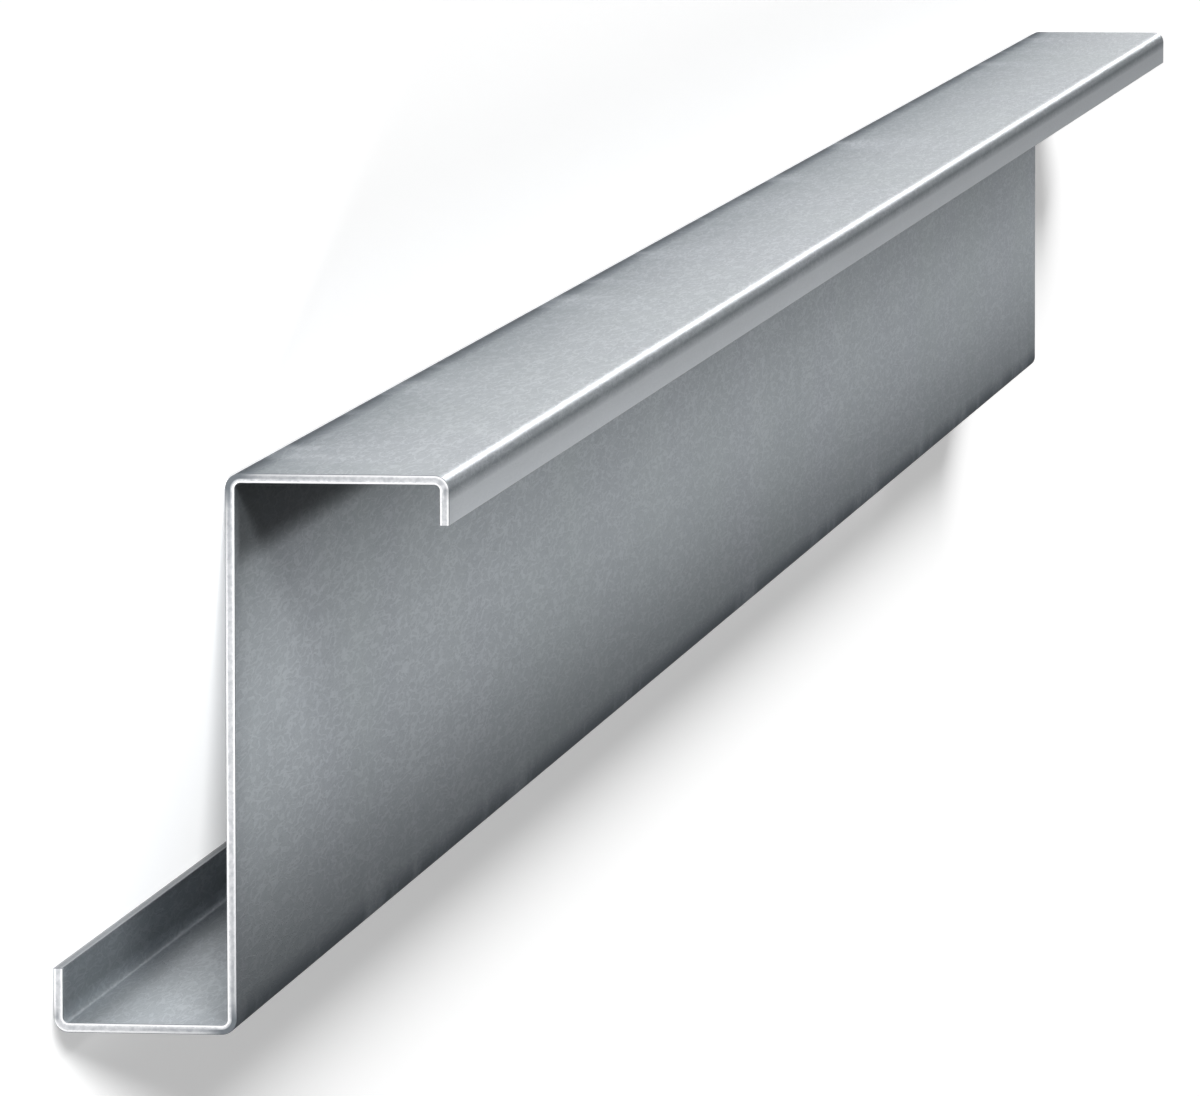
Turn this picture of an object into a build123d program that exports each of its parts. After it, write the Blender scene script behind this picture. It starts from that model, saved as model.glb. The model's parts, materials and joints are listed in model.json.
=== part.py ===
from build123d import *
import os
from math import asin, atan2, degrees

# Z purlin, roll formed from one strip of galvanised sheet: a web with a broad and a narrow flange
# turned opposite ways, and a stiffening lip turned in at the free edge of each flange.
# Units are millimetres. The piece lies on a level floor: +Z is up and the length runs along Y.

# Driving dimensions
LENGTH = 3000.0          # stock length, cut square at both ends
DEPTH = 200.0            # over the outsides of the two flanges
BROAD_FLANGE = 80.0      # over the back of the web and the outside of the lip
NARROW_FLANGE = 66.0     # over the face of the web and the outside of the lip
BROAD_LIP = 18.0         # from the outside of the broad flange to the edge of the strip
NARROW_LIP = 23.0        # from the outside of the narrow flange to the edge of the strip
GAUGE = 3.5              # thickness of the sheet
INSIDE_RADIUS = 2.0      # inside of all four bends

# The strip's middle surface, in the section: X across the web, Y up the web, origin at the web's centre
OUTSIDE_RADIUS = INSIDE_RADIUS + GAUGE
MIDDLE_RADIUS = INSIDE_RADIUS + GAUGE / 2
flange_middle = (DEPTH - GAUGE) / 2
broad_edge = Vector(BROAD_FLANGE - GAUGE, DEPTH / 2 - BROAD_LIP)
broad_corner = Vector(BROAD_FLANGE - GAUGE, flange_middle)
web_head = Vector(0, flange_middle)
web_foot = Vector(0, -flange_middle)
narrow_corner = Vector(GAUGE - NARROW_FLANGE, -flange_middle)
narrow_edge = Vector(GAUGE - NARROW_FLANGE, NARROW_LIP - DEPTH / 2)

# Unheld, the section settles on two lines: the outer corner of the narrow lip's edge, and the
# outside of the bend between the web and the broad flange. The line that touches both is the floor.
contact_corner = narrow_edge - Vector(GAUGE / 2, 0)
contact_bend = web_head + Vector(MIDDLE_RADIUS, -MIDDLE_RADIUS)
span = contact_bend - contact_corner
floor_angle = degrees(atan2(span.Y, span.X) + asin(OUTSIDE_RADIUS / span.length))
settled = Plane.XZ.rotated((0, floor_angle - 180, 0))

# The two lip bends are the sides of the settled section. The origin is midway between them, on the
# floor and at the middle of the length.
broad_side = settled.from_local_coords(broad_corner + Vector(-MIDDLE_RADIUS, -MIDDLE_RADIUS))
narrow_side = settled.from_local_coords(narrow_corner + Vector(MIDDLE_RADIUS, MIDDLE_RADIUS))
floor_point = settled.from_local_coords(contact_corner)
section_plane = Plane(
    origin=(-(broad_side.X + narrow_side.X) / 2, 0, -floor_point.Z),
    x_dir=settled.x_dir,
    z_dir=settled.z_dir,
)

os.makedirs("parts", exist_ok=True)

# The rolled strip
with BuildPart() as purlin:
    with BuildSketch(section_plane):
        with BuildLine():
            FilletPolyline(
                broad_edge, broad_corner, web_head, web_foot, narrow_corner, narrow_edge,
                radius=MIDDLE_RADIUS,
            )
        trace(line_width=GAUGE)
    extrude(amount=LENGTH / 2, both=True)
purlin.part.label = "purlin"
export_step(purlin.part, "parts/purlin.step")
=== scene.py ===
import json
from math import cos, pi, radians, sin

import bpy
import numpy as np
from bpy.props import FloatProperty, FloatVectorProperty, IntProperty, PointerProperty
from bpy.types import Operator, Panel, PropertyGroup
from mathutils import Matrix, Vector


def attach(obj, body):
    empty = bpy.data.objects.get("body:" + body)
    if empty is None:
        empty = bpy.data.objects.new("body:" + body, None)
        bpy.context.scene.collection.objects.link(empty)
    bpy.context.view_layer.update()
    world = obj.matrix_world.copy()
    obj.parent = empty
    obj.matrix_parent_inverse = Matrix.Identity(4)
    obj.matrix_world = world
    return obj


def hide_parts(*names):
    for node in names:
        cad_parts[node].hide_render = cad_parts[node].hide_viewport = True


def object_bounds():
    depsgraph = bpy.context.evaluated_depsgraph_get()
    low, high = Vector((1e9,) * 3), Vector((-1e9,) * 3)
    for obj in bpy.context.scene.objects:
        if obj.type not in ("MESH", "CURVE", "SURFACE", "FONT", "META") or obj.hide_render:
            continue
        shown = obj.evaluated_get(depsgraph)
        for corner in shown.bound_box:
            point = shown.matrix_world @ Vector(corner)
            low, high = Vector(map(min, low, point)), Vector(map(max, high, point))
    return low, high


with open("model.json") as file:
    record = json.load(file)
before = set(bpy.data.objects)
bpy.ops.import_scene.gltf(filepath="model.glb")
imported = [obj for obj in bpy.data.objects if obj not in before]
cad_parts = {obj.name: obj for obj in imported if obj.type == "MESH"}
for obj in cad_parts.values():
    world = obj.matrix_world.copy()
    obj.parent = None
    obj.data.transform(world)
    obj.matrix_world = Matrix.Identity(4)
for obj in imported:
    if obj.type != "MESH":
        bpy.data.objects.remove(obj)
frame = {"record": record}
cad_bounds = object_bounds()

bl_info = {
    "name": "Z Purlin",
    "version": (1, 0, 0),
    "blender": (4, 5, 0),
    "location": "3D View > Sidebar > Purlin",
    "description": "A galvanised Z purlin, rolled from one strip, lying on a pale studio floor",
    "category": "Add Mesh",
}

NODE = "purlin"
BODY = "root"
PIECE = "galvanised_purlin"

# Shares that the mesh carries for the finish: painted light on the lips, painted shade beside the web's
# bends, on the lips' shoulders and on the rounded and slit edges, painted shade in the insides of the bends,
# and place across the sheet, from minus one on one skin to one on the other
LIP_LIGHT, EDGE_SHADE, CORNER_SHADE, ACROSS = "lip_light", "edge_shade", "corner_shade", "across"

# Facets round a rounded edge and across a cut
EDGE_STEPS = 4
CUT_COLUMNS = 6

# How much painted shade darkens the inside of each bend and how far it spreads, from the broad lip's bend to
# the narrow lip's, as shares of what the corner under the broad flange gets
CORNER_SHADE_AMOUNTS = np.array([0.5, 1.0, 0.3, 0.8])
CORNER_SHADE_REACHES = np.array([0.4, 1.0, 0.4, 0.4])

# Which bends carry a lip
LIP_BENDS = np.array([1, 0, 0, 1])

# How the coat's patterns add up to its tone, from nothing for dull to one for bright
GRAIN_WEIGHT = 0.92
STROKE_WEIGHT = 0.30
FACET_WEIGHT = 0.06
CLOUD_WEIGHT = 0.40
STREAK_WEIGHT = 0.20
TONE_START = -0.38

# How much smoother a bright place is than a dull one and rougher a place under painted corner shade, and how
# much rougher a place under painted edge shade is
ROUGH_CHANGE = 0.10
EDGE_SHADE_ROUGHNESS = 0.30

# Layers of ever finer noise in the plain patterns, the clouds and the strokes, and how strong each layer is
PLAIN_DETAIL = 2.0
CLOUD_DETAIL = 4.0
STROKE_DETAIL = 1.0
LAYER_STRENGTH = 0.6

# How far the grains and the strokes are swirled
GRAIN_SWIRL = 1.8
STROKE_SWIRL = 0.5

# The strokes, in grain widths: the noise whose level lines they are, and the noise that breaks them
STROKE_SIZE = 3
BREAK_SIZE = 5

# Level that the strokes follow, and half the width of their band
STROKE_LEVEL = 0.5
STROKE_WIDTH = 0.05

# How high a stroke stands, against the height of the grains
STROKE_RELIEF = 1.5

# Width of a tinted patch, in clouds
PATCH_SIZE = 2

# Noise levels between which strokes, tint and the painted edge shade come in
STROKE_BREAKS = (0.20, 0.45)
PATCH_RANGE = (0.35, 0.70)
EDGE_SHADE_RANGE = (0.0, 0.5)

# A cut's mottle: layers of noise, how far the fine grain makes its border ragged, roughens it and raises it
MOTTLE_DETAIL = 3.0
BORDER_RAG = 0.35
CUT_SMOOTHEST = 0.35
CUT_ROUGH_CHANGE = 0.25
CUT_RELIEF = 0.4

# Place across the sheet, ragged by the grain, at which a cut's bright border comes in
BORDER_RANGE = (0.55, 0.80)

# Sockets of a colour mix
MIX_SHARE, MIX_FIRST, MIX_SECOND, MIX_RESULT = 0, 6, 7, 2

# Sines of the heights between which the room's walls turn into its ceiling, and of the turns between which
# its lighter side comes in
CEILING_RANGE = (0.5, 0.9)
SIDE_RANGE = (0.3, 0.8)

# The section's own axes and sizes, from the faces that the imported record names
FACES = {mount["name"]: mount for mount in frame["record"]["mounts"]}
OUT_OF_WEB = Vector(FACES["web_face"]["axis"]).normalized()
UP_WEB = Vector(FACES["broad_flange_face"]["axis"]).normalized()
ALONG = UP_WEB.cross(OUT_OF_WEB)


def face_place(name):
    """Where a named face is, in the part's frame."""
    return Vector(FACES[name]["pos_m"])


GAUGE = (face_place("web_face") - face_place("web_back")).dot(OUT_OF_WEB)
DEPTH = (face_place("broad_flange_face") - face_place("narrow_flange_face")).dot(UP_WEB)
WEB_CENTRE = face_place("web_face") - OUT_OF_WEB * GAUGE / 2
LENGTH = cad_bounds[1].y - cad_bounds[0].y


class StripSize(PropertyGroup):
    """Sizes of the rolled strip and of its fine form."""

    length: FloatProperty(
        name="Length", description="Stock length, cut square at both ends",
        default=LENGTH, min=0.1, unit="LENGTH")
    depth: FloatProperty(
        name="Depth", description="Over the outsides of the two flanges",
        default=DEPTH, min=0.05, unit="LENGTH")
    broad_flange: FloatProperty(
        name="Broad Flange", description="Over the back of the web and the outside of the lip",
        default=0.080, min=0.02, unit="LENGTH", precision=4)
    narrow_flange: FloatProperty(
        name="Narrow Flange", description="Over the face of the web and the outside of the lip",
        default=0.066, min=0.02, unit="LENGTH", precision=4)
    broad_lip: FloatProperty(
        name="Broad Lip", description="From the outside of the broad flange to the strip's edge",
        default=0.018, min=0.01, unit="LENGTH", precision=4)
    narrow_lip: FloatProperty(
        name="Narrow Lip", description="From the outside of the narrow flange to the strip's edge",
        default=0.023, min=0.01, unit="LENGTH", precision=4)
    gauge: FloatProperty(
        name="Gauge", description="Thickness of the sheet",
        default=GAUGE, min=0.001, unit="LENGTH", precision=4)
    inside_radius: FloatProperty(
        name="Inside Radius", description="Inside of all four bends",
        default=0.002, min=0.0005, unit="LENGTH", precision=4)
    # Painted shade: how far the dark tone in the inside of a bend reaches out of it
    corner_shade_reach: FloatProperty(
        name="Dust Reach", description="How far dust spreads out of the inside of a bend",
        default=0.036, min=0.001, unit="LENGTH", precision=4)
    # Painted shade: a dark tone beside the outsides of the web's bends, how strong and how far it reaches
    bend_shade_share: FloatProperty(
        name="Handling Share", description="How far handling scuffs the sheet beside the web's bends",
        default=0.62, min=0.0, max=1.0, subtype="FACTOR")
    bend_shade_reach: FloatProperty(
        name="Handling Reach", description="How far that scuffing spreads from a bend",
        default=0.035, min=0.001, unit="LENGTH", precision=4)
    # Painted shade: a dark band along the line where each lip begins
    shoulder_shade_share: FloatProperty(
        name="Shoulder Share", description="How far the rolls' shoulders dull the line beside a lip",
        default=0.60, min=0.0, max=1.0, subtype="FACTOR")
    # Painted shade on the slit edges, as a share
    slit_shade_share: FloatProperty(
        name="Slit Share", description="How far the slit edges are rubbed dark",
        default=0.75, min=0.0, max=1.0, subtype="FACTOR")
    edge_rounding: FloatProperty(
        name="Edge Rounding", description="Radius that shearing and slitting leave on the edges",
        default=0.00028, min=0.0001, unit="LENGTH", precision=5)
    web_swell: FloatProperty(
        name="Web Swell", description="How far the web stands out of flat along its length",
        default=0.00012, min=0.0, unit="LENGTH", precision=5)
    lip_ripple: FloatProperty(
        name="Lip Ripple", description="How far the edge of the broad lip stands out of straight",
        default=0.00002, min=0.0, unit="LENGTH", precision=5)
    swell_length: FloatProperty(
        name="Swell Length", description="Length of the web's swells along the purlin",
        default=0.37, min=0.05, unit="LENGTH", precision=3)
    ripple_length: FloatProperty(
        name="Ripple Length", description="Length of the lip's ripples along the purlin",
        default=0.083, min=0.02, unit="LENGTH", precision=3)
    bend_steps: IntProperty(
        name="Bend Steps", description="Facets round each bend", default=14, min=4)
    flat_step: FloatProperty(
        name="Flat Step", description="Widest facet across a flat",
        default=0.008, min=0.002, unit="LENGTH", precision=4)
    length_step: FloatProperty(
        name="Length Step", description="Longest facet along the length",
        default=0.020, min=0.005, unit="LENGTH", precision=4)


class ZincFinish(PropertyGroup):
    """Colours and grain of the galvanised sheet and of its bare edges."""

    dull: FloatVectorProperty(
        name="Dull Zinc", description="The darkest grains of the zinc coat",
        default=(0.315, 0.343, 0.375), size=3, subtype="COLOR", min=0.0, max=1.0)
    bright: FloatVectorProperty(
        name="Bright Zinc", description="The lightest grains of the zinc coat",
        default=(0.580, 0.615, 0.650), size=3, subtype="COLOR", min=0.0, max=1.0)
    # Painted light: a lighter tone on the lips' outer faces, for the light that falls on them
    painted_lit: FloatVectorProperty(
        name="Burnished Zinc", description="The coat where the rolls rubbed the lips bright",
        default=(0.735, 0.770, 0.805), size=3, subtype="COLOR", min=0.0, max=1.0)
    # Painted shade: the dark tone beside the web's bends, along the lips' shoulders and on rounded and slit
    # edges
    edge_shaded: FloatVectorProperty(
        name="Scuffed Zinc", description="The coat where stacking rubbed bends and edges dark",
        default=(0.130, 0.145, 0.160), size=3, subtype="COLOR", min=0.0, max=1.0)
    # Painted shade: the near-black tone in the insides of the bends, and how much of the coat it hides
    corner_shade_colour: FloatVectorProperty(
        name="Dust", description="The dust that gathers by the insides of the bends",
        default=(0.046, 0.052, 0.058), size=3, subtype="COLOR", min=0.0, max=1.0)
    corner_shade: FloatProperty(
        name="Dust Share", description="How much of the coat the dust hides in the corner of a bend",
        default=0.68, min=0.0, max=1.0, subtype="FACTOR")
    bare_steel: FloatVectorProperty(
        name="Bare Steel", description="The middle of a cut edge",
        default=(0.42, 0.43, 0.45), size=3, subtype="COLOR", min=0.0, max=1.0)
    # Partly smeared zinc, partly a painted highlight along the borders of a cut edge
    smear_and_highlight: FloatVectorProperty(
        name="Smeared Zinc", description="The coat drawn over the borders of a cut edge",
        default=(0.80, 0.80, 0.81), size=3, subtype="COLOR", min=0.0, max=1.0)
    mottle: FloatProperty(
        name="Mottle", description="Width of the patches on a cut edge",
        default=0.0022, min=0.0005, unit="LENGTH", precision=4)
    cut_grain: FloatProperty(
        name="Cut Grain", description="Width of the finest grains on a cut edge",
        default=0.0009, min=0.0002, unit="LENGTH", precision=4)
    # Painted light: how much of the lips' outer faces takes that lighter tone
    lip_light_share: FloatProperty(
        name="Burnish Share", description="How much of the coat on the lips is burnished",
        default=0.9, min=0.0, max=1.0, subtype="FACTOR")
    tint: FloatVectorProperty(
        name="Tint", description="The greener patches of the zinc coat",
        default=(0.40, 0.46, 0.45), size=3, subtype="COLOR", min=0.0, max=1.0)
    tint_share: FloatProperty(
        name="Tint Share", description="How strong the tint is in the middle of a patch",
        default=0.25, min=0.0, max=1.0, subtype="FACTOR")
    metal: FloatProperty(
        name="Metal", description="How far the coat shines as a metal, and not as its grey oxide",
        default=0.65, min=0.0, max=1.0, subtype="FACTOR")
    oxide_gloss: FloatProperty(
        name="Oxide Gloss", description="How much the grey oxide shines",
        default=0.1, min=0.0, max=1.0, subtype="FACTOR")
    gloss_roughness: FloatProperty(
        name="Roughness", description="Mean roughness of the coat",
        default=0.34, min=0.0, max=1.0, subtype="FACTOR")
    grain: FloatProperty(
        name="Grain", description="Width of the finest grains",
        default=0.0011, min=0.0002, unit="LENGTH", precision=4)
    spangle: FloatProperty(
        name="Spangle", description="Width of the zinc crystals",
        default=0.005, min=0.001, unit="LENGTH", precision=4)
    cloud: FloatProperty(
        name="Cloud", description="Width of the soft patches in the coat",
        default=0.09, min=0.01, unit="LENGTH", precision=3)
    roll_stretch: FloatProperty(
        name="Roll Stretch", description="How many times longer than wide the rolled grains are",
        default=6.0, min=1.0)
    streak_stretch: FloatProperty(
        name="Streak Stretch", description="How many times longer than wide the roll streaks are",
        default=60.0, min=1.0)
    relief: FloatProperty(
        name="Relief", description="Height of the grains",
        default=0.00006, min=0.0, unit="LENGTH", precision=6)


class StudioStage(PropertyGroup):
    """The floor, the light and the camera."""

    floor_colour: FloatVectorProperty(
        name="Floor", description="Colour of the floor",
        default=(0.90, 0.90, 0.90), size=3, subtype="COLOR", min=0.0, max=1.0)
    floor_reach: FloatProperty(
        name="Floor Reach", description="How far the floor runs each way",
        default=120.0, min=10.0, unit="LENGTH")
    floor_white: FloatProperty(
        name="Floor White", description="Plain white that the floor adds to what the camera sees of it",
        default=0.27, min=0.0, max=1.0, subtype="FACTOR")
    floor_sheen: FloatProperty(
        name="Floor Sheen", description="Plain white that the floor adds to what the metal shows of it",
        default=0.28, min=0.0, max=1.0, subtype="FACTOR")
    key_strength: FloatProperty(
        name="Key", description="Strength of the broad light from the front right", default=0.6, min=0.0)
    key_turn: FloatProperty(
        name="Key Turn", description="Side that the key comes from, round from the far end",
        default=radians(125.0), subtype="ANGLE")
    key_height: FloatProperty(
        name="Key Height", description="Height of the key above the floor",
        default=radians(25.0), subtype="ANGLE")
    key_spread: FloatProperty(
        name="Key Spread", description="Width of the key as the purlin sees it",
        default=radians(30.0), subtype="ANGLE")
    fill_strength: FloatProperty(
        name="Fill", description="Strength of the low light from the front left, off the floor",
        default=3.5, min=0.0)
    fill_turn: FloatProperty(
        name="Fill Turn", description="Side that the fill comes from, round from the far end",
        default=radians(-150.0), subtype="ANGLE")
    fill_height: FloatProperty(
        name="Fill Height", description="Height of the fill above the floor",
        default=radians(10.0), subtype="ANGLE")
    fill_spread: FloatProperty(
        name="Fill Spread", description="Width of the fill as the purlin sees it",
        default=radians(12.0), subtype="ANGLE")
    rim_strength: FloatProperty(
        name="Rim", description="Strength of the low light beyond the far end", default=0.45, min=0.0)
    rim_turn: FloatProperty(
        name="Rim Turn", description="Side that the rim light comes from, round from the far end",
        default=radians(-20.0), subtype="ANGLE")
    rim_height: FloatProperty(
        name="Rim Height", description="Height of the rim light above the floor",
        default=radians(2.5), subtype="ANGLE")
    rim_spread: FloatProperty(
        name="Rim Spread", description="Width of the rim light as the purlin sees it",
        default=radians(12.0), subtype="ANGLE")
    ground_strength: FloatProperty(
        name="Ground Light", description="Strength of the low light that falls on the floor alone",
        default=21.5, min=0.0)
    ground_turn: FloatProperty(
        name="Ground Turn", description="Side that the ground light comes from, round from the far end",
        default=radians(-165.7), subtype="ANGLE")
    ground_height: FloatProperty(
        name="Ground Height", description="Height of the ground light above the floor",
        default=radians(5.1), subtype="ANGLE")
    ground_spread: FloatProperty(
        name="Ground Spread", description="Width of the ground light as the floor sees it",
        default=radians(3.2), subtype="ANGLE")
    beam_strength: FloatProperty(
        name="Beam", description="Power of the long softbox beside the web", default=2.5, min=0.0)
    beam_aim: FloatVectorProperty(
        name="Beam Aim", size=2, min=-1.0, max=1.0, default=(0.43, 0.56),
        description="Where on the web the softbox points, from its head down, at the near and far ends")
    beam_height: FloatProperty(
        name="Beam Height", description="Height of the softbox above the floor, from where it points",
        default=radians(58.0), subtype="ANGLE")
    beam_distance: FloatVectorProperty(
        name="Beam Distance", size=2, min=0.1, default=(0.50, 0.82), unit="LENGTH",
        description="How far the softbox is from where it points, at the near and far ends")
    beam_size: FloatVectorProperty(
        name="Beam Size", description="Width and length of the softbox", size=2,
        default=(0.12, 3.16), unit="LENGTH")
    beam_spread: FloatProperty(
        name="Beam Spread", description="How far the softbox's grid lets its light fan out",
        default=radians(16.0), subtype="ANGLE")
    sky_top: FloatProperty(
        name="Sky Top", description="Light from straight above", default=0.12, min=0.0)
    sky_front: FloatProperty(
        name="Sky Front", description="Light from the near side of the room", default=0.12, min=0.0)
    sky_back: FloatProperty(
        name="Sky Back", description="Light from the far side of the room", default=0.04, min=0.0)
    sky_side: FloatProperty(
        name="Sky Side", description="Light from the side of the room away from the fill",
        default=0.5, min=0.0)
    view_place: FloatVectorProperty(
        name="View Place", size=3, subtype="TRANSLATION",
        description="The camera from the web's centre at the near end: out of the web, along, up the web",
        default=(0.6839, -4.2181, 0.4788))
    view_turn: FloatProperty(
        name="View Turn", description="How far the view is turned from along the purlin",
        default=radians(7.457), subtype="ANGLE")
    view_height: FloatProperty(
        name="View Height", description="How far the view comes down on the broad flange",
        default=radians(5.423), subtype="ANGLE")
    view_roll: FloatProperty(
        name="View Roll", description="How far the picture is rolled from the upright web",
        default=radians(-0.079), subtype="ANGLE")
    lens: FloatProperty(
        name="Lens", description="Focal length, in millimetres", default=364.38, min=10.0)


def strip_runs(size):
    """The runs of the developed strip, from the broad lip's edge to the narrow lip's edge.

    Each flat is as long as its side of the section less a bend's middle radius at each bend, and each bend is
    a quarter turn of that radius, to the left for the broad side and to the right for the narrow side.
    Returns the five flats, the length of a bend, and the turn of the four bends.
    """
    radius = size.inside_radius + size.gauge / 2
    half = size.gauge / 2
    flats = np.array([
        size.broad_lip - half - radius,
        size.broad_flange - size.gauge - 2 * radius,
        size.depth - size.gauge - 2 * radius,
        size.narrow_flange - size.gauge - 2 * radius,
        size.narrow_lip - half - radius,
    ])
    return flats, radius * pi / 2, np.array([1, 1, -1, -1])


def bend_places(size):
    """Where each bend starts and ends along the developed strip, and which way it turns."""
    flats, bend_length, turns = strip_runs(size)
    starts = np.cumsum(flats)[:-1] + bend_length * np.arange(len(turns))
    return starts, starts + bend_length, turns


def strip_stations(size):
    """Stations across the developed strip, from the broad lip's edge to the narrow lip's edge.

    Flats and bends are divided evenly. Near both edges the sheet thins by a quarter circle of the edge
    rounding, so there the stations are that circle's own points.
    Returns distance, curvature of each interval, share of the full thickness, and the lean of the surface
    normal towards the strip's edge.
    """
    flats, bend_length, turns = strip_runs(size)
    radius = size.inside_radius + size.gauge / 2
    half = size.gauge / 2
    steps, curvature = [], []
    for place, flat in enumerate(flats):
        count = int(np.ceil(flat / size.flat_step)) + 1
        steps.append(np.full(count, flat / count))
        curvature.append(np.zeros(count))
        if place < len(turns):
            steps.append(np.full(size.bend_steps, bend_length / size.bend_steps))
            curvature.append(np.full(size.bend_steps, turns[place] / radius))
    distance = np.concatenate([[0.0], np.cumsum(np.concatenate(steps))])
    width = distance[-1]
    lean = np.linspace(0.0, pi / 2, EDGE_STEPS + 1)
    edge = size.edge_rounding * (1 - np.cos(lean))
    inner = distance[(distance > edge[-1]) & (distance < width - edge[-1])]
    stations = np.concatenate([edge, inner, width - edge[::-1]])
    middles = (stations[1:] + stations[:-1]) / 2
    bend = np.concatenate(curvature)[np.searchsorted(distance, middles) - 1]
    upright = np.full(len(inner), pi / 2)
    leaning = np.concatenate([lean, upright, lean[::-1]])
    thickness = 1 - size.edge_rounding / half * (1 - np.sin(leaning))
    outward = np.concatenate([-np.cos(lean), 0 * upright, np.cos(lean[::-1])])
    return stations, bend, thickness, outward


def section_line(size, stations, bend):
    """The strip's middle line, bent into its section.

    The heading at a station is the running sum of curvature times step, from straight up the web. The point
    is the running sum of chords: each chord points along the heading at the middle of its interval, and is
    as long as the interval's arc allows, the step times the sine of half its turn over half its turn.
    The line is then moved so that the middle of the web is the origin.
    Returns points, tangents and left normals, each with an across and an up column.
    """
    step = np.diff(stations)
    turn = bend * step
    heading = pi / 2 + np.concatenate([[0.0], np.cumsum(turn)])
    middle = heading[:-1] + turn / 2
    chord = step * np.sinc(turn / 2 / pi)
    run = np.c_[chord * np.cos(middle), chord * np.sin(middle)]
    points = np.concatenate([np.zeros((1, 2)), np.cumsum(run, axis=0)])
    points += [size.broad_flange - size.gauge, size.depth / 2 - size.broad_lip]
    tangent = np.c_[np.cos(heading), np.sin(heading)]
    normal = np.c_[-np.sin(heading), np.cos(heading)]
    return points, tangent, normal


def sheet_loop(size):
    """The closed outline of the sheet cut lengthwise: one skin, the far cut, the other skin, the near cut.

    One half runs along the left skin, round a quarter circle of the edge rounding, straight over the cut and
    round a second quarter circle. The other half is the same turned half round about the sheet's middle.
    Returns the offset from the middle of the sheet, the place along the length, the outline's outward
    normal in those two directions, and how many of a half's points are on the skin.
    """
    rounding = size.edge_rounding
    reach, half = size.length / 2 - rounding, size.gauge / 2 - rounding
    count = int(np.ceil(2 * reach / size.length_step)) + 1
    lean = np.linspace(0.0, pi / 2, EDGE_STEPS + 1)[1:]
    across = np.linspace(half, -half, CUT_COLUMNS + 1)[1:-1]
    flat = np.zeros(count)
    cut = np.zeros(len(across))
    out = np.concatenate([flat + 1, np.cos(lean), cut, -np.cos(lean[::-1])])
    forward = np.concatenate([flat, np.sin(lean), cut + 1, np.sin(lean[::-1])])
    offset = np.concatenate([
        flat + half + rounding, half + rounding * np.cos(lean), across,
        -half - rounding * np.cos(lean[::-1])])
    along = np.concatenate([
        np.linspace(-reach, reach, count), reach + rounding * np.sin(lean), cut + reach + rounding,
        reach + rounding * np.sin(lean[::-1])])
    return (np.r_[offset, -offset], np.r_[along, -along], np.r_[out, -out], np.r_[forward, -forward], count)


def sheet_waves(size, stations, along):
    """How far the rolled sheet stands off its true section, over stations and length.

    Across the strip the web's swell is a half sine from bend to bend, and the lip's ripple grows from its
    bend to its edge as the square of the distance. Along the length each is the mean of two sines whose
    wavelengths have no common measure.
    """
    starts, ends, _ = bend_places(size)
    across_web = np.clip((stations - ends[1]) / (starts[2] - ends[1]), 0, 1)
    across_lip = np.clip(1 - stations / starts[0], 0, 1)
    swell = size.web_swell * np.sin(pi * across_web)
    ripple = size.lip_ripple * across_lip ** 2
    swells = np.outer(swell, two_sines(along, size.swell_length))
    ripples = np.outer(ripple, two_sines(along, size.ripple_length))
    return swells + ripples


def two_sines(along, wavelength):
    """The mean of a sine of that wavelength and one longer by the golden ratio, out of step by a radian."""
    golden = (1 + 5 ** 0.5) / 2
    first = 2 * pi * along / wavelength
    return (np.sin(first) + np.sin(first / golden + 1)) / 2


def strip_surface(size):
    """The whole skin of the purlin as a grid: stations across the strip by points of the sheet's outline.

    A grid point is the middle line's point, plus the left normal times the outline's offset, thinned near
    the strip's edges, plus the sheet's waves, carried to its place along the length. Its normal is the
    outline's, with the part across the sheet turned towards the strip's edge by the edge rounding and
    tilted by the slope of the waves. Rounded edges get painted shade in full, and slit edges by a share.
    Returns points and normals in the part's frame, faces, which faces are cut, and the shares by name that
    the finish reads at each point.
    """
    stations, bend, thickness, outward = strip_stations(size)
    middle, tangent, normal = section_line(size, stations, bend)
    offset, along, out, forward, skin = sheet_loop(size)
    waves = sheet_waves(size, stations, along)
    rows, columns = len(stations), len(offset)

    lift = thickness[:, None] * offset[None, :] + waves
    plane = middle[:, None, :] + normal[:, None, :] * lift[:, :, None]
    axes = np.array([OUT_OF_WEB, UP_WEB])
    points = plane.reshape(-1, 2) @ axes + np.outer(np.tile(along, rows), ALONG) + np.array(WEB_CENTRE)

    upright = np.sqrt(1 - outward ** 2)
    slope_across = np.gradient(waves, stations, axis=0)
    on_normal = np.outer(upright, out)
    on_tangent = np.outer(outward, np.abs(out)) - out * slope_across
    on_length = forward - out * wave_slope(size, stations, along)
    turned = normal[:, None, :] * on_normal[:, :, None] + tangent[:, None, :] * on_tangent[:, :, None]
    normals = turned.reshape(-1, 2) @ axes + np.outer(on_length.ravel(), ALONG)
    normals /= np.linalg.norm(normals, axis=1)[:, None]

    faces, cut = strip_faces(rows, columns, skin)
    marks = bend_marks(size, stations, np.sign(offset))
    # Painted shade: rounded edges dark in full, slit edges by the slit share
    rounded = ~np.isclose(out * forward, 0)[None, :] | ~np.isclose(outward * upright, 0)[:, None]
    slit = size.slit_shade_share * np.isclose(np.abs(outward), 1)[:, None]
    marks[EDGE_SHADE] = np.maximum(marks[EDGE_SHADE], np.maximum(rounded, slit))
    marks[ACROSS] = np.tile(offset / (size.gauge / 2), (rows, 1))
    return points, normals, faces, cut, {name: values.ravel() for name, values in marks.items()}


def wave_slope(size, stations, along):
    """The waves' slope along the length, as the difference over a short step each way."""
    step = size.length_step / 4
    ahead, behind = sheet_waves(size, stations, along + step), sheet_waves(size, stations, along - step)
    return (ahead - behind) / (2 * step)


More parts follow.
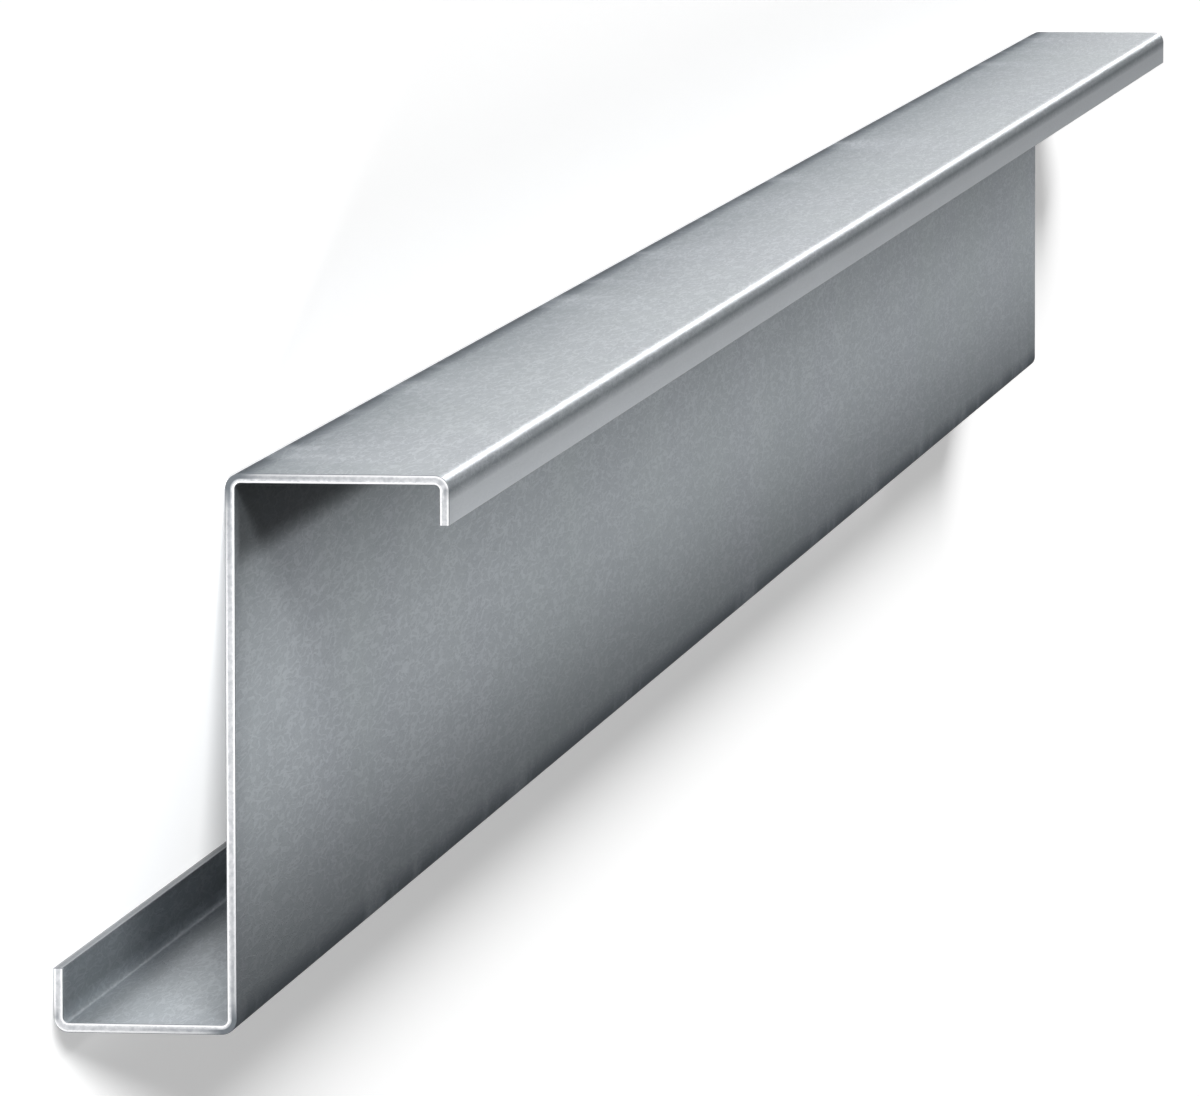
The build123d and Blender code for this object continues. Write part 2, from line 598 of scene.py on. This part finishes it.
def bend_marks(size, stations, side):
    """Where painted light and painted shade lie near the bends, as shares over stations and outline.

    A station's gap to a bend is its distance outside that bend along the strip. Painted light lies on the
    outsides of the lips: nothing at a lip's bend, rising smoothly to one over a gauge. Painted shade lies on
    the outsides of the web's bends: wholly in the bend, falling smoothly to its set share over a gauge, and
    from there exponentially. Painted shade darkens the outside of the sheet along the line where a lip
    begins, by a bump that comes to nothing a quarter of the bend away. Painted shade darkens the inside of a
    bend by that bend's own share, which falls exponentially with the gap. A lip bend's own inside gets none
    of it, and the shade comes in smoothly over half a gauge.
    """
    starts, ends, turns = bend_places(size)
    station = stations[:, None]
    gap = np.clip(np.maximum(starts - station, station - ends), 0, None)
    into_lip = np.maximum(starts[0] - stations, stations - ends[-1])
    # Painted shade beside the outsides of the web's bends
    bend_shade = size.bend_shade_share * np.exp(-gap / size.bend_shade_reach)
    web_bend = np.maximum(smooth_step(1 - gap / size.gauge), bend_shade) * (1 - LIP_BENDS)
    quarter = (ends[0] - starts[0]) / 4
    beside_lip = smooth_step(1 - np.abs(into_lip) / quarter)
    inside = turns[:, None] == side
    lip_outside = ~inside[0] * (stations < starts[1])[:, None] | ~inside[-1] * (stations > ends[2])[:, None]
    edge_shade = (web_bend[:, :, None] * ~inside).max(axis=1)
    # Painted shade along the line where each lip begins
    shoulder_shade = size.shoulder_shade_share * beside_lip[:, None] * lip_outside
    # Painted shade in the insides of the bends; the lip bends' own insides get none
    unshaded_lip_bend = LIP_BENDS * smooth_step(1 - 2 * gap / size.gauge)
    spread = CORNER_SHADE_AMOUNTS * np.exp(-gap / (size.corner_shade_reach * CORNER_SHADE_REACHES)) * (1 - unshaded_lip_bend)
    corner_shade = spread[:, :, None] * inside
    return {
        # Painted light on the outsides of the lips
        LIP_LIGHT: smooth_step(into_lip / size.gauge)[:, None] * lip_outside,
        EDGE_SHADE: np.maximum(edge_shade, shoulder_shade),
        CORNER_SHADE: corner_shade.max(axis=1),
    }


def smooth_step(share):
    """A share held between nothing and one, and eased at both ends by three squares less two cubes."""
    held = np.clip(share, 0, 1)
    return held * held * (3 - 2 * held)


def strip_faces(rows, columns, skin):
    """Faces of the strip: the grid's quads, and the closing of the two slit edges.

    A grid quad joins two neighbouring stations and two neighbouring points of the closed outline. A slit
    edge is closed by quads from one skin to the other and by one face at each end.
    Returns the faces, and whether each one is a cut and not the zinc skin.
    """
    row, column = np.meshgrid(np.arange(rows - 1), np.arange(columns), indexing="ij")
    after = (column + 1) % columns
    quads = np.stack([
        row * columns + column, (row + 1) * columns + column,
        (row + 1) * columns + after, row * columns + after], axis=-1).reshape(-1, 4)
    half = columns // 2
    on_skin = (np.arange(columns) % half) < skin - 1
    on_edge = (np.arange(rows - 1) < EDGE_STEPS) | (np.arange(rows - 1) >= rows - 1 - EDGE_STEPS)
    cut = (~on_skin[None, :] | on_edge[:, None]).ravel()

    left = np.arange(skin)
    right = half + skin - 1 - left
    bridge = np.stack([left[:-1], left[1:], right[1:], right[:-1]], axis=-1)
    far_end = np.arange(skin - 1, half + 1)
    near_end = np.r_[np.arange(half + skin - 1, columns), 0]
    last = (rows - 1) * columns
    ends = [far_end, near_end, far_end[::-1] + last, near_end[::-1] + last]
    slit_edges = np.concatenate([bridge, bridge[:, ::-1] + last])
    faces = quads.tolist() + slit_edges.tolist() + [end.tolist() for end in ends]
    return faces, np.r_[cut, np.ones(len(faces) - len(cut), bool)]


def new_node(tree, kind, values=None, **settings):
    """A shader node with its settings, and with each named input set to a value or joined to a socket."""
    made = tree.nodes.new(kind)
    for name, value in settings.items():
        setattr(made, name, value)
    for name, value in (values or {}).items():
        if isinstance(value, bpy.types.NodeSocket):
            tree.links.new(value, made.inputs[name])
        else:
            made.inputs[name].default_value = value
    return made


def new_material(name):
    """A material that is one Principled shader. Returns it, its tree and the shader."""
    material = bpy.data.materials.new(name)
    material.use_nodes = True
    tree = material.node_tree
    tree.nodes.clear()
    shader = new_node(tree, "ShaderNodeBsdfPrincipled")
    new_node(tree, "ShaderNodeOutputMaterial", {"Surface": shader.outputs["BSDF"]})
    return material, tree, shader


def weighed(tree, value, weight, rest=0.0):
    """A socket that holds value times weight plus rest."""
    return new_node(
        tree, "ShaderNodeMath", {0: value, 1: weight, 2: rest}, operation="MULTIPLY_ADD").outputs[0]


def blended(tree, share, first, second):
    """A socket with a colour that runs from the first to the second as share goes from nothing to one."""
    values = {MIX_SHARE: share, MIX_FIRST: first, MIX_SECOND: second}
    return new_node(tree, "ShaderNodeMix", values, data_type="RGBA").outputs[MIX_RESULT]


def opaque(colour):
    """A colour with full alpha."""
    return (*colour, 1.0)


def grey(level):
    """A grey of that level."""
    return (level, level, level, 1.0)


def drawn_out(tree, place, stretch):
    """A socket with that place, in which every pattern comes out longer along the purlin by that much."""
    return new_node(
        tree, "ShaderNodeMapping", {"Vector": place, "Scale": (1.0, 1 / stretch, 1.0)}).outputs["Vector"]


def noise(tree, place, width, detail, swirl=0.0):
    """A socket with soft noise whose patches are about that wide."""
    return new_node(tree, "ShaderNodeTexNoise", {
        "Vector": place, "Scale": 1 / width, "Detail": detail, "Roughness": LAYER_STRENGTH,
        "Distortion": swirl}).outputs["Fac"]


def ramp(tree, value, low, high):
    """A socket that runs from nothing to one as the value goes from low to high, and stays there."""
    return new_node(
        tree, "ShaderNodeMapRange", {"Value": value, "From Min": low, "From Max": high}).outputs["Result"]


def product(tree, first, second):
    """A socket that holds one value times another."""
    return new_node(tree, "ShaderNodeMath", {0: first, 1: second}, operation="MULTIPLY").outputs[0]


def mesh_share(tree, name):
    """A socket that holds one of the shares that the mesh carries."""
    return new_node(tree, "ShaderNodeAttribute", attribute_name=name).outputs["Fac"]


def worm_strokes(tree, place, width):
    """A socket that is one on short curly strokes: the level lines of a soft noise, broken by a wider one."""
    height = noise(tree, place, STROKE_SIZE * width, STROKE_DETAIL, STROKE_SWIRL)
    line = new_node(
        tree, "ShaderNodeMath", {0: height, 1: STROKE_LEVEL, 2: STROKE_WIDTH}, operation="COMPARE").outputs[0]
    breaks = ramp(tree, noise(tree, place, BREAK_SIZE * width, STROKE_DETAIL), *STROKE_BREAKS)
    return product(tree, line, breaks)


def zinc_skin(finish):
    """The galvanised face: grain, curly strokes and small crystals, drawn out along the rolling direction.

    Faint roll streaks and soft tinted clouds lie over them. Painted light makes the lips lighter; painted
    shade darkens the outsides of the web's bends, the lips' shoulders, rounded and slit edges, and the
    insides of the bends. Places under painted edge shade are rougher, and dark at a glancing view too, a
    painted dark reflection.
    """
    material, tree, shader = new_material("galvanised_zinc")
    place = new_node(tree, "ShaderNodeTexCoord").outputs["Object"]
    rolled = drawn_out(tree, place, finish.roll_stretch)
    grain = noise(tree, rolled, finish.grain, PLAIN_DETAIL, GRAIN_SWIRL)
    strokes = worm_strokes(tree, rolled, finish.grain)
    crystal = new_node(tree, "ShaderNodeTexVoronoi", {"Vector": rolled, "Scale": 1 / finish.spangle})
    facet = new_node(tree, "ShaderNodeSeparateColor", {"Color": crystal.outputs["Color"]}).outputs["Red"]
    cloud = noise(tree, place, finish.cloud, CLOUD_DETAIL)
    streak = noise(tree, drawn_out(tree, place, finish.streak_stretch), finish.spangle, PLAIN_DETAIL)

    tone = weighed(tree, grain, GRAIN_WEIGHT, TONE_START)
    for socket, weight in (
            (strokes, STROKE_WEIGHT), (facet, FACET_WEIGHT), (cloud, CLOUD_WEIGHT), (streak, STREAK_WEIGHT)):
        tone = weighed(tree, socket, weight, tone)
    coat = blended(tree, tone, opaque(finish.dull), opaque(finish.bright))
    patch = ramp(tree, noise(tree, place, PATCH_SIZE * finish.cloud, PLAIN_DETAIL), *PATCH_RANGE)
    tinted = blended(tree, weighed(tree, patch, finish.tint_share), coat, opaque(finish.tint))

    lip_light, edge_shade, corner_shade = (mesh_share(tree, name) for name in (LIP_LIGHT, EDGE_SHADE, CORNER_SHADE))
    # Painted light: the lips' outer faces made lighter
    rubbed = blended(tree, weighed(tree, lip_light, finish.lip_light_share), tinted, opaque(finish.painted_lit))
    # Painted shade on the bends' outsides, the lips' shoulders and the edges, broken up by the clouds
    edge_shade_share = product(tree, edge_shade, ramp(tree, cloud, *EDGE_SHADE_RANGE))
    edge_shaded = blended(tree, edge_shade_share, rubbed, opaque(finish.edge_shaded))
    # Painted shade: near-black in the insides of the bends, which also makes them a little rougher
    corner_shaded = weighed(tree, corner_shade, finish.corner_shade)
    tree.links.new(blended(tree, corner_shaded, edge_shaded, opaque(finish.corner_shade_colour)), shader.inputs["Base Color"])

    # Painted shade in the reflection as well, where the edge shade lies
    reflection_tint = blended(tree, edge_shade_share, grey(1.0), opaque(finish.edge_shaded))
    tree.links.new(reflection_tint, shader.inputs["Specular Tint"])
    rough = weighed(tree, tone, -ROUGH_CHANGE, finish.gloss_roughness + ROUGH_CHANGE / 2)
    rough = weighed(tree, corner_shaded, ROUGH_CHANGE, rough)
    rough = weighed(tree, edge_shade_share, EDGE_SHADE_ROUGHNESS, rough)
    tree.links.new(rough, shader.inputs["Roughness"])
    height = weighed(tree, strokes, STROKE_RELIEF, grain)
    bump = new_node(tree, "ShaderNodeBump", {"Strength": 1.0, "Distance": finish.relief, "Height": height})
    tree.links.new(bump.outputs["Normal"], shader.inputs["Normal"])
    shader.inputs["Metallic"].default_value = finish.metal
    shader.inputs["Specular IOR Level"].default_value = finish.oxide_gloss
    return material


def cut_edge(finish):
    """The sheared and slit edges: mottled bare steel between two bright borders, partly smeared zinc and
    partly painted highlight.

    They are painted dark, as shade, where the mesh carries painted edge shade, most of all on rounded and
    slit edges.
    """
    material, tree, shader = new_material("sheared_steel")
    place = new_node(tree, "ShaderNodeTexCoord").outputs["Object"]
    mottle = noise(tree, place, finish.mottle, MOTTLE_DETAIL)
    grain = noise(tree, place, finish.cut_grain, PLAIN_DETAIL)
    side = new_node(tree, "ShaderNodeMath", {0: mesh_share(tree, ACROSS)}, operation="ABSOLUTE").outputs[0]
    # The bright borders: partly smeared zinc, partly a painted highlight
    border = ramp(tree, weighed(tree, grain, BORDER_RAG, side), *BORDER_RANGE)
    half_smeared = [(bare + smeared) / 2 for bare, smeared in zip(finish.bare_steel, finish.smear_and_highlight)]
    steel = blended(tree, ramp(tree, mottle, *PATCH_RANGE), opaque(finish.bare_steel), opaque(half_smeared))
    bordered = blended(tree, border, steel, opaque(finish.smear_and_highlight))
    # Painted shade on rounded and slit edges
    edge_shade = mesh_share(tree, EDGE_SHADE)
    tree.links.new(blended(tree, edge_shade, bordered, opaque(finish.edge_shaded)), shader.inputs["Base Color"])
    tree.links.new(weighed(tree, grain, CUT_ROUGH_CHANGE, CUT_SMOOTHEST), shader.inputs["Roughness"])
    bump = new_node(
        tree, "ShaderNodeBump", {"Strength": CUT_RELIEF, "Distance": finish.relief, "Height": grain})
    tree.links.new(bump.outputs["Normal"], shader.inputs["Normal"])
    shader.inputs["Metallic"].default_value = finish.metal
    return material


class PURLIN_OT_roll_strip(Operator):
    """Roll the galvanised strip into its Z section, with its sheared ends and slit edges"""

    bl_idname = "purlin.roll_strip"
    bl_label = "Roll Strip"

    def execute(self, context):
        size, finish = context.scene.purlin_strip, context.scene.purlin_zinc
        points, normals, faces, cut, marks = strip_surface(size)
        mesh = bpy.data.meshes.new(PIECE)
        mesh.from_pydata(points.tolist(), [], faces)
        mesh.materials.append(zinc_skin(finish))
        mesh.materials.append(cut_edge(finish))
        mesh.polygons.foreach_set("material_index", cut.astype(np.int32))
        mesh.polygons.foreach_set("use_smooth", np.ones(len(faces), bool))
        for name, values in marks.items():
            mesh.attributes.new(name, "FLOAT", "POINT").data.foreach_set("value", values.astype(np.float32))
        mesh.update()
        mesh.normals_split_custom_set_from_vertices(normals.tolist())
        piece = bpy.data.objects.new(PIECE, mesh)
        context.scene.collection.objects.link(piece)
        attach(piece, BODY)
        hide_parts(NODE)
        return {"FINISHED"}


def pale_floor(stage):
    """A matt floor that takes the purlin's shadow.

    It adds plain white to what the camera and the metal see of it.
    """
    material = bpy.data.materials.new("pale_floor")
    material.use_nodes = True
    tree = material.node_tree
    tree.nodes.clear()
    path = new_node(tree, "ShaderNodeLightPath").outputs
    seen = weighed(tree, path["Is Camera Ray"], stage.floor_white)
    for kind in ("Is Glossy Ray", "Is Transmission Ray"):
        seen = weighed(tree, path[kind], stage.floor_sheen, seen)
    matt = new_node(tree, "ShaderNodeBsdfDiffuse", {"Color": opaque(stage.floor_colour)})
    white = new_node(tree, "ShaderNodeEmission", {"Strength": seen})
    shown = new_node(tree, "ShaderNodeAddShader", {0: matt.outputs[0], 1: white.outputs[0]})
    new_node(tree, "ShaderNodeOutputMaterial", {"Surface": shown.outputs[0]})
    material.cycles.emission_sampling = "NONE"
    return material


def lay_floor(stage):
    """One square of floor at the level that the purlin lies on. Returns it."""
    reach = stage.floor_reach
    level = cad_bounds[0].z
    side = np.array([-reach, reach])
    x, y = np.meshgrid(side, side)
    corners = np.c_[x.ravel(), y.ravel(), np.full(x.size, level)]
    mesh = bpy.data.meshes.new("floor")
    mesh.from_pydata(corners.tolist(), [], [[0, 1, 3, 2]])
    mesh.materials.append(pale_floor(stage))
    floor = bpy.data.objects.new("floor", mesh)
    bpy.context.scene.collection.objects.link(floor)
    return floor


def towards(turn, height):
    """The direction to a light: turned from the far end, clockwise from above, and raised from the floor."""
    return Vector((sin(turn) * cos(height), cos(turn) * cos(height), sin(height)))


def hang_sun(name, strength, turn, height, spread):
    """A light so far away that it falls evenly on the purlin and the floor. Returns it."""
    lamp = bpy.data.lights.new(name, "SUN")
    lamp.energy = strength
    lamp.angle = spread
    light = bpy.data.objects.new(name, lamp)
    light.rotation_mode = "QUATERNION"
    light.rotation_quaternion = towards(turn, height).to_track_quat("Z", "Y")
    bpy.context.scene.collection.objects.link(light)
    return light


def link_light(light, floor, state):
    """Keep a light to the floor alone, by INCLUDE, or off the floor, by EXCLUDE. Shadows stay as they are."""
    receivers = bpy.data.collections.new(light.name)
    receivers.objects.link(floor)
    receivers.collection_objects[0].light_linking.link_state = state
    light.light_linking.receiver_collection = receivers


def hang_beam(stage):
    """A long softbox over the purlin, hung by its two ends, whose grid keeps its light on the web.

    The metal doesn't mirror it.
    """
    way = towards(-pi / 2, stage.beam_height)
    near, far = (
        WEB_CENTRE + UP_WEB * DEPTH * (0.5 - aim) + ALONG * LENGTH * end + way * distance
        for aim, distance, end in zip(stage.beam_aim, stage.beam_distance, (-0.5, 0.5)))
    run = (far - near).normalized()
    across = run.cross(way).normalized()
    lamp = bpy.data.lights.new("beam", "AREA")
    lamp.shape = "RECTANGLE"
    lamp.size, lamp.size_y = stage.beam_size
    lamp.energy = stage.beam_strength
    lamp.spread = stage.beam_spread
    light = bpy.data.objects.new("beam", lamp)
    turned = Matrix((across, run, across.cross(run))).transposed().to_4x4()
    light.matrix_world = Matrix.Translation((near + far) / 2) @ turned
    light.visible_camera = False
    light.visible_glossy = False
    bpy.context.scene.collection.objects.link(light)


def studio_sky(stage):
    """A dim room that is lighter above and towards the near side, and lightest on one side."""
    world = bpy.data.worlds.new("studio")
    world.use_nodes = True
    tree = world.node_tree
    tree.nodes.clear()
    way = new_node(tree, "ShaderNodeTexCoord").outputs["Generated"]
    part = new_node(tree, "ShaderNodeSeparateXYZ", {"Vector": way}).outputs
    wall = blended(tree, ramp(tree, part["Y"], 1.0, -1.0), grey(stage.sky_back), grey(stage.sky_front))
    walls = blended(tree, ramp(tree, part["X"], *SIDE_RANGE), wall, grey(stage.sky_side))
    room = blended(tree, ramp(tree, part["Z"], *CEILING_RANGE), walls, grey(stage.sky_top))
    sky = new_node(tree, "ShaderNodeBackground", {"Color": room})
    new_node(tree, "ShaderNodeOutputWorld", {"Surface": sky.outputs[0]})
    bpy.context.scene.world = world


def place_camera(stage):
    """The camera, set by its turn, height and roll about the section as if the web stood upright."""
    turn, height, roll = stage.view_turn, stage.view_height, stage.view_roll
    level = OUT_OF_WEB * cos(turn) + ALONG * sin(turn)
    back = (OUT_OF_WEB * sin(turn) - ALONG * cos(turn)) * cos(height) + UP_WEB * sin(height)
    rise = back.cross(level)
    right = level * cos(roll) + rise * sin(roll)
    up = rise * cos(roll) - level * sin(roll)
    across, along, above = stage.view_place
    near_end = WEB_CENTRE - ALONG * LENGTH / 2
    camera = bpy.data.cameras.new("camera")
    camera.lens = stage.lens
    camera.clip_end = 2 * stage.floor_reach
    seat = bpy.data.objects.new("camera", camera)
    turned = Matrix((right, up, back)).transposed().to_4x4()
    seat.matrix_world = Matrix.Translation(
        near_end + OUT_OF_WEB * across + ALONG * along + UP_WEB * above) @ turned
    bpy.context.scene.collection.objects.link(seat)
    bpy.context.scene.camera = seat


class PURLIN_OT_set_stage(Operator):
    """Lay the floor, hang the lights and place the camera"""

    bl_idname = "purlin.set_stage"
    bl_label = "Set Stage"

    def execute(self, context):
        stage = context.scene.purlin_stage
        floor = lay_floor(stage)
        studio_sky(stage)
        hang_sun("key", stage.key_strength, stage.key_turn, stage.key_height, stage.key_spread)
        fill = hang_sun("fill", stage.fill_strength, stage.fill_turn, stage.fill_height, stage.fill_spread)
        link_light(fill, floor, "EXCLUDE")
        hang_sun("rim", stage.rim_strength, stage.rim_turn, stage.rim_height, stage.rim_spread)
        ground = hang_sun(
            "ground", stage.ground_strength, stage.ground_turn, stage.ground_height, stage.ground_spread)
        link_light(ground, floor, "INCLUDE")
        hang_beam(stage)
        place_camera(stage)
        context.scene.view_settings.view_transform = "Standard"
        return {"FINISHED"}


class VIEW3D_PT_purlin(Panel):
    """The purlin's sizes, finish and stage, with the operators that make them"""

    bl_label = "Z Purlin"
    bl_space_type = "VIEW_3D"
    bl_region_type = "UI"
    bl_category = "Purlin"

    def draw(self, context):
        scene = context.scene
        for group, operator in (
                (scene.purlin_strip, PURLIN_OT_roll_strip), (scene.purlin_zinc, None),
                (scene.purlin_stage, PURLIN_OT_set_stage)):
            box = self.layout.box()
            for name in group.__annotations__:
                box.prop(group, name)
            if operator:
                box.operator(operator.bl_idname)


CLASSES = (StripSize, ZincFinish, StudioStage, PURLIN_OT_roll_strip, PURLIN_OT_set_stage, VIEW3D_PT_purlin)


def register():
    """Add the classes, and the settings that every scene then has."""
    for kind in CLASSES:
        bpy.utils.register_class(kind)
    bpy.types.Scene.purlin_strip = PointerProperty(type=StripSize)
    bpy.types.Scene.purlin_zinc = PointerProperty(type=ZincFinish)
    bpy.types.Scene.purlin_stage = PointerProperty(type=StudioStage)


def unregister():
    """Take the settings and the classes away."""
    del bpy.types.Scene.purlin_stage
    del bpy.types.Scene.purlin_zinc
    del bpy.types.Scene.purlin_strip
    for kind in reversed(CLASSES):
        bpy.utils.unregister_class(kind)


def main():
    """Make the purlin and its stage."""
    register()
    bpy.ops.purlin.roll_strip()
    bpy.ops.purlin.set_stage()


if __name__ == "__main__":
    main()
